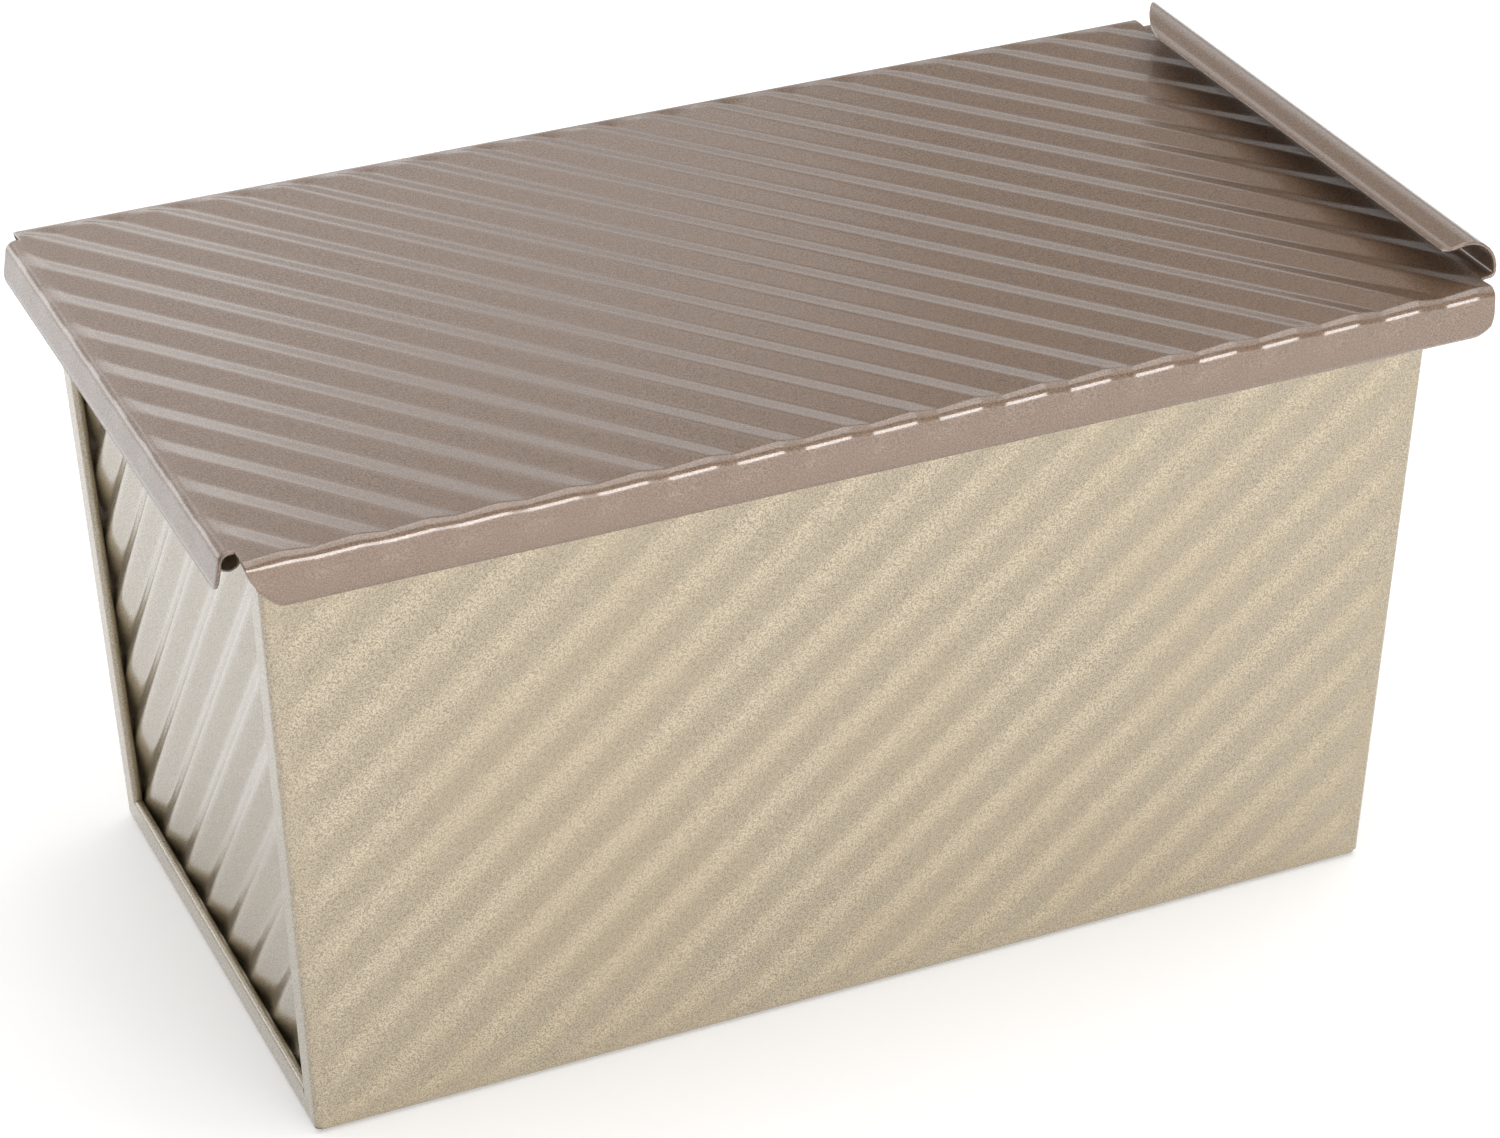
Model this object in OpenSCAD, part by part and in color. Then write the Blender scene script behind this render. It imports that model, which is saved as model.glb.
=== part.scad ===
// Pullman loaf pan: a folded pan of diagonally corrugated sheet with a slide-on lid.
// The origin is the centre of the base, +X points to the lid's handle and +Z points up.

/* [Body] */
// Length of the body along its bottom edges
body_l = 200; // [150:1:260]
// Width of the body across its bottom edges
body_w = 107; // [80:1:140]
// Height of the rim above the surface that the pan stands on
rim_h = 116.1; // [80:0.5:140]
// Outward slope of every wall in degrees
draft = 2.1; // [0:0.1:4]
// Thickness of the sheet
sheet = 0.5; // [0.4:0.05:0.7]

/* [Corrugation] */
// Distance from one crest to the next, square to the crests
wave_pitch = 9.2; // [7:0.1:14]
// Height of the wave from valley to crest
wave_h = 0.7; // [0.4:0.05:0.9]
// Slope of the crests on the long walls in degrees
wall_angle = 40; // [25:1:65]
// Slope of the crests on the end panels in degrees
end_angle = 49.5; // [25:0.5:65]
// Slope of the crests on the lid in degrees
lid_angle = 51.5; // [25:0.5:65]
// Width of the flat margin along folds and seams
margin = 2.4; // [2:0.1:4]

/* [Seams and rim] */
// Width of the folded seam that frames each end
hem_w = 6; // [5:0.1:9]
// Gap between neighbouring layers of the folded seam
hem_gap = 0.15; // [0.1:0.01:0.2]
// Open gap of the mitre where two seams meet at a bottom corner
mitre_gap = 0.5; // [0.3:0.05:1]
// Outer radius of the folds along the bottom edges
fold_r = 1.1; // [0.8:0.05:1.5]
// Outer diameter of the rolled bead on the rim
bead_d = 4; // [3.4:0.1:5]
// Distance from a long wall to the outer side of its bead
side_rim = 5.8; // [4.8:0.1:7]
// Distance from an end seam to the outer side of its bead
end_rim = 5.8; // [5:0.1:7]
// How far the bead turns, in degrees
bead_turn = 290; // [270:1:300]
// Bend radius, to the sheet's middle, where a long wall turns out into its rim
rim_bend = 1.25; // [1:0.05:2]
// Bend radius, to the sheet's middle, where an end panel turns out over its seam
panel_bend = 1; // [0.8:0.05:1.5]
// Gap between an end rim and the long walls beside it
corner_gap = 0.5; // [0.3:0.1:2]

/* [Lid] */
// Gap between the lid and the rim that it slides on
lid_gap = 0.25; // [0.2:0.05:0.5]
// Side gap between the lid's skirt and the long beads
skirt_gap = 0.5; // [0.3:0.05:1]
// Height of the skirt below the lid's flat margin
skirt_h = 9; // [7:0.1:11]
// Outer radius of the lid's folds
lid_fold_r = 2; // [1.5:0.1:2.4]
// Bend radius, to the sheet's middle, of the skirt's hooked lower edge
hook_bend = 1.25; // [1:0.05:1.6]
// Angle through which the skirt's lower edge is hooked in
hook_sweep = 110; // [90:1:130]
// Radius of the skirt's rounded corner at the lip end
skirt_corner_lip = 6; // [3:0.1:7]
// Radius of the skirt's rounded corner at the handle end
skirt_corner_grip = 3.6; // [3:0.1:7]
// Gap between the lip and the end bead that stops the lid
stop_gap = 0.3; // [0.2:0.05:1]
// Height of the lip below the lid's flat margin
lip_h = 6.7; // [5.5:0.1:8]
// Outward slope of the lip in degrees
lip_splay = 8; // [0:1:20]
// Radius of the lip's rounded lower corners
lip_corner_r = 2; // [1:0.1:4]
// How far lip and handle stop short of the skirt's outer face on each side
flap_inset = 5; // [4:0.1:12]
// How far the skirt stops short of the lip's fold
lip_notch = 0.8; // [0.4:0.1:3]

/* [Handle] */
// How far the lid's flat top reaches past the rim's corner, up to the handle's fold
grip_reach = 9.8; // [6:0.1:14]
// How far the skirt stops short of the handle's fold
grip_notch = 1.65; // [1:0.05:4]
// Angle through which the lid's sheet is folded up into the handle
grip_lean = 85; // [80:1:90]
// Bend radius, to the sheet's middle, of that fold
grip_bend = 1; // [0.8:0.1:2]
// Outer radius of the handle's curl
grip_r = 6; // [5:0.1:8]
// Angle through which the curl turns
grip_turn = 108; // [90:1:130]
// Straight rise between the fold and the curl
grip_rise = 0; // [0:0.1:3]
// Straight run between the curl and the flick of its free edge
flick_run = 1.2; // [0.6:0.1:3]
// Bend radius, to the sheet's middle, of the flick
flick_bend = 3; // [1:0.1:4]
// Angle through which the free edge is flicked up
flick_turn = 20; // [5:1:30]
// Length of the flick past its bend
flick_length = 1.6; // [0.6:0.1:3]
// Radius in plan of the handle's rounded far corner
grip_corner_r = 42; // [30:1:60]

/* [Hidden] */
$fn = 48;

// Half of the wave's height, which crests stand out from a flat margin
wave_a = wave_h / 2;
// Straight faces that make up one wave
wave_steps = 8;
// Length of overlap between a flat margin and the field or fold beside it
lap = 0.6;
// Flat margins are this much proud of the folds that lap them
skin = 0.02;
// Largest angle of one straight face of a bend
bend_step = 12;
// Reach of cutting shapes past a corner, and past everything
cut_reach = 20;
big = 2 * (body_l + body_w + rim_h);
// Clearance between shapes whose edges would otherwise coincide
clear = 0.2;
// Outward lean of the walls for each millimetre of height
slope = tan(draft);
// Outward lean of a wall's end, measured in the wall's own plane
lean = slope * cos(draft);
// Height of the flat margins of the base above the crests that the pan stands on
base_z = wave_a;
// Height of the sheet's middle in the rim's flat ledge
rim_mid = rim_h - sheet / 2;
bead_r = (bead_d - sheet) / 2;
// Layers of a folded seam: wrap, panel hook and wrap
hem_t = 3 * sheet + 2 * hem_gap;
hem_turn_r = (hem_t - sheet) / 2;
hook_r = sheet / 2 + hem_gap;
// Distance of the hook's middle from the wall's outer face
hook_x = sheet + hem_gap + sheet / 2;
// Depth of the end panel's middle behind the face of the seam
panel_depth = hem_t + hem_gap + sheet / 2;
// The seams stop below the long rims' folds
hem_top = rim_mid - rim_bend - lap - clear;
// Height up the slope at which the long walls' and the end panels' flat margins end
wall_top = (rim_mid - rim_bend * (1 - sin(draft)) - base_z) / cos(draft) + sheet / 2 * slope;
panel_top = (rim_mid - panel_bend * (1 - sin(draft)) - base_z) / cos(draft) - panel_depth * slope;
// Half length of the long rims, which end at the corners of the walls
rim_half = body_l / 2 + slope * rim_h - clear;
// Half width of the end rims, which fit between the long walls
end_half = body_w / 2 + slope * rim_h - sheet - corner_gap;
// Middle of the beads
side_bead_y = body_w / 2 + slope * rim_h + side_rim - bead_d / 2;
end_bead_x = body_l / 2 + slope * rim_h + end_rim - bead_d / 2;

// Lid: middle of its sheet, outer face of its skirt and ends of its flat panel
lid_mid = rim_h + lid_gap + wave_a + sheet / 2;
skirt_y = side_bead_y + bead_d / 2 + skirt_gap + sheet;
lid_bend = lid_fold_r - sheet / 2;
// Distance by which the splayed lip moves out between its fold and the bead's widest point
lip_lead = (lid_mid - lid_bend + lid_bend * sin(lip_splay) - rim_mid + bead_r) * tan(lip_splay);
lip_x = end_bead_x + bead_d / 2 + stop_gap + sheet / 2 / cos(lip_splay) - lip_lead
      - lid_bend * cos(lip_splay);
grip_x = rim_half + grip_reach;
skirt_x0 = lip_x - lip_notch;
skirt_x1 = grip_x - grip_notch;
flap_y = skirt_y - flap_inset;

// Colours of the coated steel
gold = [0.78, 0.71, 0.58];
pale_gold = [0.80, 0.77, 0.72];
rose_brown = [0.62, 0.54, 0.47];

// Cross-section of the corrugated sheet, centred on the X axis
module wave_section(length) {
    count = ceil(length / wave_pitch);
    angles = [for (i = [-count * wave_steps / 2 : count * wave_steps / 2]) (i + 0.5) * 360 / wave_steps];
    peak = wave_a / cos(180 / wave_steps);
    // Thickness measured along Y, so that the sheet keeps its gauge on the slopes
    function rise(a) = 2 * PI * peak / wave_pitch * sin(a);
    function half(a) = sheet / 2 * sqrt(1 + pow(rise(a), 2));
    over = [for (a = angles) [a / 360 * wave_pitch, peak * cos(a) + half(a)]];
    under = [for (a = angles) [a / 360 * wave_pitch, peak * cos(a) - half(a)]];
    polygon(concat(over, [for (i = [len(under) - 1 : -1 : 0]) under[i]]));
}

// Corrugated field lying on the XY plane inside an outline, with crests along the given angle
module wave_field(outline, angle, shift = 0) {
    reach = norm([max([for (p = outline) abs(p[0])]), max([for (p = outline) abs(p[1])])]) + wave_pitch;
    intersection() {
        rotate([0, 0, angle])
            translate([-reach, shift, 0])
                rotate([90, 0, 90])
                    linear_extrude(2 * reach)
                        wave_section(2 * reach);
        translate([0, 0, -2])
            linear_extrude(4)
                polygon(outline);
    }
}

// Points along one side of a folded strip. Each step is a straight run and then a bend, given as
// its length, the bend's radius and its angle. The side lies off to the left of the strip's middle.
function side_points(steps, off, i = 0, at = [0, 0], h = 0) =
    i >= len(steps) ? [] :
    let (run = steps[i][0], r = steps[i][1], a = steps[i][2], s = sign(a),
         left = [-sin(h), cos(h)],
         turn = at + run * [cos(h), sin(h)],
         centre = turn + s * r * left,
         count = ceil(abs(a) / bend_step),
         arc = [for (k = [1 : 1 : count]) let (t = h + a * k / count)
                centre + (off - s * r) * [-sin(t), cos(t)]],
         next = centre - s * r * [-sin(h + a), cos(h + a)])
    concat(i == 0 ? [at + off * left] : [], run > 0 ? [turn + off * left] : [], arc,
           side_points(steps, off, i + 1, next, h + a));

// Folded strip of sheet
module fold_section(steps) {
    over = side_points(steps, sheet / 2);
    under = side_points(steps, -sheet / 2);
    polygon(concat(over, [for (i = [len(under) - 1 : -1 : 0]) under[i]]));
}

// Flat margin on the XY plane, between an outline and the same outline drawn in by the margin
module margin_plate(outline, opening) {
    linear_extrude(sheet + 2 * skin, center = true)
        difference() {
            polygon(outline);
            polygon(opening);
        }
}

// Extrudes a section drawn in the XZ plane along Y, centred
module along_y(length) {
    rotate([90, 0, 0])
        linear_extrude(length, center = true)
            children();
}

// Extrudes a section drawn in the YZ plane along X, centred
module along_x(length) {
    rotate([90, 0, 90])
        linear_extrude(length, center = true)
            children();
}

// Repeats a shape on the other side, half a turn about the pan's middle
module both_ways() {
    children();
    rotate([0, 0, 180])
        children();
}

// Outline of the near wall between two heights up the slope, drawn in at both ends
function wall_outline(low, high, inset) =
    [for (p = [[-1, low], [1, low], [1, high], [-1, high]])
        [p[0] * (body_l / 2 - inset + lean * p[1]), p[1]]];

// Corrugated field of the near wall inside its flat margin
module near_wall() {
    edge = fold_r + margin;
    translate([0, -body_w / 2 + sheet / 2, base_z])
        rotate([90 + draft, 0, 0]) {
            margin_plate(wall_outline(fold_r, wall_top, fold_r), wall_outline(edge, wall_top - margin, edge));
            wave_field(wall_outline(edge - lap, wall_top - margin + lap, edge - lap), wall_angle);
        }
}

// Fold between the base and the near wall
module bottom_fold() {
    translate([0, -body_w / 2 + fold_r + lap, base_z + sheet / 2])
        along_x(body_l - 2 * (fold_r + lap + clear))
            mirror([1, 0])
                fold_section([[lap, fold_r - sheet / 2, 90 - draft], [lap, 0, 0]]);
}

// Top of the near wall, turned out over a ledge into a hollow rolled bead
module side_rim() {
    y = body_w / 2 - sheet / 2 / cos(draft) + slope * (rim_mid - rim_bend * (1 - sin(draft)) - base_z);
    ledge = side_bead_y - y - rim_bend * cos(draft);
    translate([0, -y, rim_mid - rim_bend * (1 - sin(draft))])
        along_x(2 * rim_half)
            mirror([1, 0])
                rotate(90 - draft)
                    translate([-lap, 0])
                        fold_section([[lap, rim_bend, draft - 90], [ledge, bead_r, -bead_turn]]);
}

// Section of the wrap's seam: the margin, the face, the return and the inner leg
module hem_section(corner) {
    bend = fold_r - sheet / 2;
    face = hem_w - fold_r - hem_turn_r - sheet / 2;
    inner = hem_w - hem_turn_r - sheet / 2 - 2 * (sheet + hem_gap) - hem_gap;
    fold_section([[lap, bend, -corner], [face, hem_turn_r, -180], [inner, 0, 0]]);
}

// Section of the end panel's edge, hooked into the seam
module hook_section() {
    rise = panel_depth - sheet - hem_gap - sheet / 2 - 2 * hook_r;
    grip = hem_w - hem_turn_r - sheet / 2 - hook_x - hook_r;
    fold_section([[lap, hook_r, -90], [rise, hook_r, -90], [grip, 0, 0]]);
}

// Region of the left end, about its near bottom corner, that belongs to an upright seam or to the
// bottom seam. A mitre with an open gap parts the two.
module seam_region(upright) {
    shift = mitre_gap / sqrt(2);
    reach = cut_reach;
    translate([-body_l / 2, -body_w / 2, base_z])
        rotate([90, 0, 90])
            linear_extrude(2 * reach, center = true)
                polygon(upright
                    ? [[-reach, -reach + shift], [reach, reach + shift], [reach, big], [-reach, big]]
                    : [[-reach, -reach - shift], [body_w + reach, -reach - shift],
                       [body_w - reach, reach - shift], [reach, reach - shift]]);
}

// Places a shape at the near corner of the left end, upright in the wall's plane
module on_wall_corner() {
    translate([-body_l / 2, -body_w / 2, base_z])
        rotate([draft, 0, 0])
            rotate([0, -atan(lean), 0])
                children();
}

// Places a shape at the near corner of the left end, upright in the end's plane
module on_end_corner() {
    translate([-body_l / 2, -body_w / 2, base_z])
        rotate([0, -draft, 0])
            rotate([atan(lean), 0, 0])
                children();
}

// Seam along the near upright edge of the left end
module side_seam() {
    intersection() {
        on_wall_corner()
            translate([0, 0, -cut_reach])
                linear_extrude(hem_top - base_z + cut_reach)
                    translate([fold_r + lap, sheet / 2])
                        rotate(180)
                            hem_section(90);
        seam_region(true);
    }
}

// Seam along the bottom edge of the left end
module bottom_seam() {
    intersection() {
        translate([-body_l / 2 + fold_r + lap, 0, base_z + sheet / 2])
            along_y(body_w)
                rotate(180)
                    hem_section(90 - draft);
        seam_region(false);
    }
}

// Rectangle about the origin
function rectangle(x, y) = [[-x, -y], [x, -y], [x, y], [-x, y]];

// Corrugated base inside its flat margin
module base() {
    x = body_l / 2 - fold_r;
    y = body_w / 2 - fold_r;
    translate([0, 0, base_z + sheet / 2]) {
        margin_plate(rectangle(x, y), rectangle(x - margin, y - margin));
        // Half a wave of shift puts a downward crest, which the pan stands on, at the origin
        wave_field(rectangle(x - margin + lap, y - margin + lap), -wall_angle, wave_pitch / 2);
    }
}

// Folded wrap: the base and both long walls in one sheet
module body_wrap() {
    color(gold) {
        base();
        both_ways() {
            near_wall();
            bottom_fold();
            side_rim();
            side_seam();
            mirror([0, 1, 0])
                side_seam();
            bottom_seam();
        }
    }
}

// Outline of an end panel between two heights up the slope, drawn in at both sides
function end_outline(low, high, inset) =
    [for (p = [[-1, low], [1, low], [1, high], [-1, high]])
        [p[0] * (body_w / 2 - inset + lean * p[1]), p[1]]];

// End panel on the left: corrugated field, flat margin, hooked edges and the end rim
module end_panel() {
    edge = hook_x + hook_r;
    inset = hem_w + margin;
    color(pale_gold) {
        // The outline's X axis runs from the far side to the near side, as seen from outside
        translate([-body_l / 2, 0, base_z])
            rotate([0, -draft, 0])
                translate([panel_depth, 0, 0])
                    rotate([90, 0, -90]) {
                        margin_plate(end_outline(edge, panel_top, edge),
                                     end_outline(inset, panel_top - margin, inset));
                        wave_field(end_outline(inset - lap, panel_top - margin + lap, inset - lap),
                                   end_angle);
                    }
        side_hook();
        mirror([0, 1, 0])
            side_hook();
        bottom_hook();
        end_rim();
    }
}

// Edge of the left end panel inside the near upright seam
module side_hook() {
    intersection() {
        on_end_corner()
            translate([0, 0, -cut_reach])
                linear_extrude(hem_top - base_z + cut_reach)
                    translate([panel_depth, hook_x + hook_r + lap])
                        rotate(-90)
                            hook_section();
        seam_region(true);
    }
}

// Edge of the left end panel inside the bottom seam, leaning with the end
module bottom_hook() {
    intersection() {
        translate([-body_l / 2, 0, base_z])
            rotate([0, -draft, 0])
                along_y(body_w)
                    translate([panel_depth, hook_x + hook_r + lap])
                        rotate(-90)
                            hook_section();
        seam_region(false);
    }
}

// Top of the left end panel, turned out over the seam into a hollow rolled bead
module end_rim() {
    turn_z = rim_mid - panel_bend * (1 - sin(draft));
    x = body_l / 2 - panel_depth / cos(draft) + slope * (turn_z - base_z);
    ledge = end_bead_x - x - panel_bend * cos(draft);
    translate([-x, 0, turn_z])
        along_y(2 * end_half)
            rotate(90 + draft)
                translate([-lap, 0])
                    fold_section([[lap, panel_bend, 90 - draft], [ledge, bead_r, bead_turn]]);
}

module left_end_panel() {
    end_panel();
}

module right_end_panel() {
    rotate([0, 0, 180])
        end_panel();
}

// Skirt along the near edge of the lid, hooked in below the bead
module lid_skirt() {
    drop = skirt_h - lid_fold_r - hook_bend - sheet / 2;
    intersection() {
        translate([(skirt_x1 - skirt_x0) / 2, -(skirt_y - lid_fold_r - lap), lid_mid])
            along_x(skirt_x1 + skirt_x0)
                mirror([1, 0])
                    fold_section([[lap, lid_bend, -90], [drop, hook_bend, -hook_sweep]]);
        rotate([90, 0, 0])
            linear_extrude(big)
                skirt_outline();
    }
}

// Side view of the skirt, with its two lower corners rounded
module skirt_outline() {
    top = lid_mid + sheet;
    low = lid_mid + sheet / 2 - skirt_h;
    difference() {
        translate([-skirt_x0, low - sheet])
            square([skirt_x0 + skirt_x1, top - low + sheet]);
        translate([-skirt_x0, low])
            corner_waste(skirt_corner_lip);
        translate([skirt_x1, low])
            mirror([1, 0])
                corner_waste(skirt_corner_grip);
    }
}

// Waste outside a rounded corner at the origin
module corner_waste(r) {
    difference() {
        translate([-r, -r])
            square(2 * r);
        translate([r, r])
            circle(r);
    }
}

// Lip over the end bead at the end opposite the handle
module lid_lip() {
    drop = (lip_h - lid_bend * (1 - sin(lip_splay)) - sheet / 2) / cos(lip_splay);
    difference() {
        translate([-(lip_x - lap), 0, lid_mid])
            along_y(2 * flap_y)
                rotate(180)
                    fold_section([[lap, lid_bend, 90 - lip_splay], [drop, 0, 0]]);
        lip_corner();
        mirror([0, 1, 0])
            lip_corner();
    }
}

// Waste at the rounded far corner of the lip
module lip_corner() {
    translate([-lip_x, flap_y, lid_mid + sheet / 2 - lip_h])
        rotate([90, 0, 90])
            linear_extrude(2 * cut_reach, center = true)
                mirror([1, 0])
                    corner_waste(lip_corner_r);
}

// Handle curled up and back over the lid
module lid_handle() {
    difference() {
        translate([grip_x - lap, 0, lid_mid])
            along_y(2 * flap_y)
                fold_section([[lap, grip_bend, grip_lean], [grip_rise, grip_r - sheet / 2, grip_turn],
                              [flick_run, flick_bend, -flick_turn], [flick_length, 0, 0]]);
        grip_corner();
    }
}

// Waste at the far corner of the handle, which is rounded in plan
module grip_corner() {
    back_x = grip_x + grip_bend + sheet / 2;
    shift = grip_corner_r * sin(45);
    translate([0, 0, lid_mid + grip_bend])
        linear_extrude(cut_reach)
            difference() {
                translate([back_x - cut_reach, flap_y - shift])
                    square([cut_reach, 2 * shift]);
                translate([back_x + shift, flap_y - shift])
                    circle(grip_corner_r);
            }
}

// Slide-on lid in one sheet
module lid() {
    fold_y = skirt_y - lid_fold_r;
    x0 = margin - skirt_x0;
    x1 = skirt_x1 - margin;
    y = fold_y - margin;
    color(rose_brown) {
        translate([0, 0, lid_mid]) {
            margin_plate([[-skirt_x0, -fold_y], [skirt_x1, -fold_y], [skirt_x1, -flap_y], [grip_x, -flap_y],
                          [grip_x, flap_y], [skirt_x1, flap_y], [skirt_x1, fold_y], [-skirt_x0, fold_y],
                          [-skirt_x0, flap_y], [-lip_x, flap_y], [-lip_x, -flap_y], [-skirt_x0, -flap_y]],
                         [[x0, -y], [x1, -y], [x1, y], [x0, y]]);
            wave_field([[x0 - lap, -y - lap], [x1 + lap, -y - lap], [x1 + lap, y + lap], [x0 - lap, y + lap]],
                       180 - lid_angle);
        }
        lid_skirt();
        mirror([0, 1, 0])
            lid_skirt();
        lid_lip();
        lid_handle();
    }
}

body_wrap();
left_end_panel();
right_end_panel();
lid();
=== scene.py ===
"""Lidded loaf pan of diagonally corrugated coated sheet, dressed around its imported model.

The pan's wrap is one corrugated sheet that is cut flat, folded up into the base and long walls,
turned in at its ends as flat seams and rolled along its rims. The end panels and the slide-on lid
are made the same way: corrugated field first, then each fold from the edge before it.
"""

from __future__ import annotations

import logging
import math
from dataclasses import dataclass
from enum import Enum
from typing import Callable, Iterable, Sequence

import bmesh
import bpy
from bmesh.types import BMEdge, BMFace, BMFaceSeq, BMVert, BMVertSeq
from bpy.types import ID, Material, Node, NodeTree, Object
from mathutils import Matrix, Vector


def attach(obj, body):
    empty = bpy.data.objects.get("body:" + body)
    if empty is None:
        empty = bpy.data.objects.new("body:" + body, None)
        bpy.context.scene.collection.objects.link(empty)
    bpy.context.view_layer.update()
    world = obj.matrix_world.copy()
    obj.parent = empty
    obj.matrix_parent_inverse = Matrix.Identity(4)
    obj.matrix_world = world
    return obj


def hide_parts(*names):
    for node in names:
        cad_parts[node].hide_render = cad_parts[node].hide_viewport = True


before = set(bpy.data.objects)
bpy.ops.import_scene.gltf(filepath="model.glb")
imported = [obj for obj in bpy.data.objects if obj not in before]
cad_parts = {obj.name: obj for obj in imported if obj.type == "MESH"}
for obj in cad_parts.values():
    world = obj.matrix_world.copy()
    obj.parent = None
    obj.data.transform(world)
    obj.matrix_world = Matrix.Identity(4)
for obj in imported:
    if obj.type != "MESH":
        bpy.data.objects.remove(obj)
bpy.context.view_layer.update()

LOG = logging.getLogger("loaf_pan")
Colour = tuple[float, float, float]

MM = 0.001
# Near or left, and far or right
SIDES = (-1.0, 1.0)
# Slack for finding the border edges on a line
ON_LINE = 0.001 * MM
# Slack for finding the vertices that meet at a fold
AT_FOLD = 0.01 * MM
# Distance at which a cut takes a vertex as lying on it
CUT_SNAP = 1e-7
# Width of sheet beside a fold or seam that stays free of the wave
PLAIN_EDGE = 0.2 * MM
RIGHT_ANGLE = math.pi / 2.0
DOWN = Vector((0.0, 0.0, -1.0))


class Body(Enum):
    """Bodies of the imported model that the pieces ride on."""

    PAN = "pan"
    COVER = "cover"


class Coating(Enum):
    """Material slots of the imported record."""

    GOLD = "gold_coating"
    ROSE_BROWN = "lid_coating"


class End(Enum):
    """The two ends of the pan, by the direction in which each faces along X."""

    LEFT = -1
    RIGHT = 1


@dataclass(frozen=True)
class Corrugation:
    """Diagonal wave pressed into the sheet.

    The wave has two nearly straight slopes with rounded crests and valleys. Its angle is that of
    the crests, and its phase the distance by which the pattern is shifted across them. The grid
    laid for it has steps rows to a wave, and its rounding averages as many places as samples says.
    """

    angle: float
    phase: float = 0.0
    pitch: float = 9.2 * MM
    height: float = 0.7 * MM
    steep_share: float = 0.42
    rounding: float = 0.9 * MM
    samples: int = 7
    steps: int = 12

    def across(self, u: float, v: float) -> float:
        """Returns the distance of a point across the crests, from the wave's start."""
        return v * math.cos(self.angle) - u * math.sin(self.angle) - self.phase

    def zigzag(self, w: float) -> float:
        """Returns the sharp-cornered wave, from -1 to 1, at a distance across the crests."""
        t = (w / self.pitch) % 1.0
        share = self.steep_share
        if t < share:
            return 2.0 * t / share - 1.0
        return 1.0 - 2.0 * (t - share) / (1.0 - share)

    def lift(self, u: float, v: float) -> float:
        """Returns the height of the sheet's middle over its mean plane.

        Args:
            u: Place along the panel.
            v: Place up or across the panel.

        Returns:
            The height in metres, rounded by averaging the sharp wave over the rounding length.
        """
        w = self.across(u, v)
        total = 0.0
        for k in range(self.samples):
            total += self.zigzag(w + self.rounding * ((k + 0.5) / self.samples - 0.5) * 2.0)
        return 0.5 * self.height * total / self.samples


@dataclass(frozen=True)
class PanSizes:
    """Driving sizes of the pan in metres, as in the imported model."""

    body_l: float = 200.0 * MM
    body_w: float = 107.0 * MM
    rim_h: float = 116.1 * MM
    draft: float = math.radians(2.1)
    sheet: float = 0.5 * MM
    wave_rise: float = 0.35 * MM
    fold_r: float = 1.1 * MM
    hem_w: float = 6.0 * MM
    hem_gap: float = 0.15 * MM
    mitre_gap: float = 0.5 * MM
    bead_d: float = 4.0 * MM
    side_rim: float = 5.8 * MM
    end_rim: float = 5.8 * MM
    bead_turn: float = math.radians(290.0)
    rim_bend: float = 1.25 * MM
    panel_bend: float = 1.0 * MM
    seam_drop: float = 0.8 * MM
    corner_gap: float = 0.5 * MM
    clear: float = 0.2 * MM

    @property
    def slope(self) -> float:
        """Outward lean of the walls for each unit of height."""
        return math.tan(self.draft)

    @property
    def lean(self) -> float:
        """Outward lean of a wall's end, measured in the wall's own plane."""
        return self.slope * math.cos(self.draft)

    @property
    def hem_t(self) -> float:
        """Thickness of a folded seam of three layers."""
        return 3.0 * self.sheet + 2.0 * self.hem_gap

    @property
    def hem_turn_r(self) -> float:
        """Radius of the seam's inner fold, to the sheet's middle."""
        return (self.hem_t - self.sheet) / 2.0

    @property
    def face_w(self) -> float:
        """Width of the flat part of a seam's face."""
        return self.hem_w - self.fold_r - self.hem_turn_r - self.sheet / 2.0

    @property
    def panel_depth(self) -> float:
        """Depth of an end panel's middle behind the face of its seam."""
        return self.hem_t + self.hem_gap + self.sheet / 2.0

    @property
    def rim_mid(self) -> float:
        """Height of the sheet's middle in the rim's flat ledge."""
        return self.rim_h - self.sheet / 2.0

    @property
    def seam_top(self) -> float:
        """Height at which the upright seams end, below the long rims' folds."""
        return self.rim_mid - self.rim_bend - self.seam_drop

    @property
    def bead_r(self) -> float:
        """Radius of the rolled bead, to the sheet's middle."""
        return (self.bead_d - self.sheet) / 2.0

    @property
    def side_bead_y(self) -> float:
        """Distance of a long bead's middle from the pan's middle."""
        return self.body_w / 2.0 + self.slope * self.rim_h + self.side_rim - self.bead_d / 2.0

    @property
    def end_bead_x(self) -> float:
        """Distance of an end bead's middle from the pan's middle."""
        return self.body_l / 2.0 + self.slope * self.rim_h + self.end_rim - self.bead_d / 2.0

    @property
    def rim_half(self) -> float:
        """Half length of the long rims."""
        return self.body_l / 2.0 + self.slope * self.rim_h - self.clear

    @property
    def end_half(self) -> float:
        """Half width of the end rims."""
        return self.body_w / 2.0 + self.slope * self.rim_h - self.sheet - self.corner_gap


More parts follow.
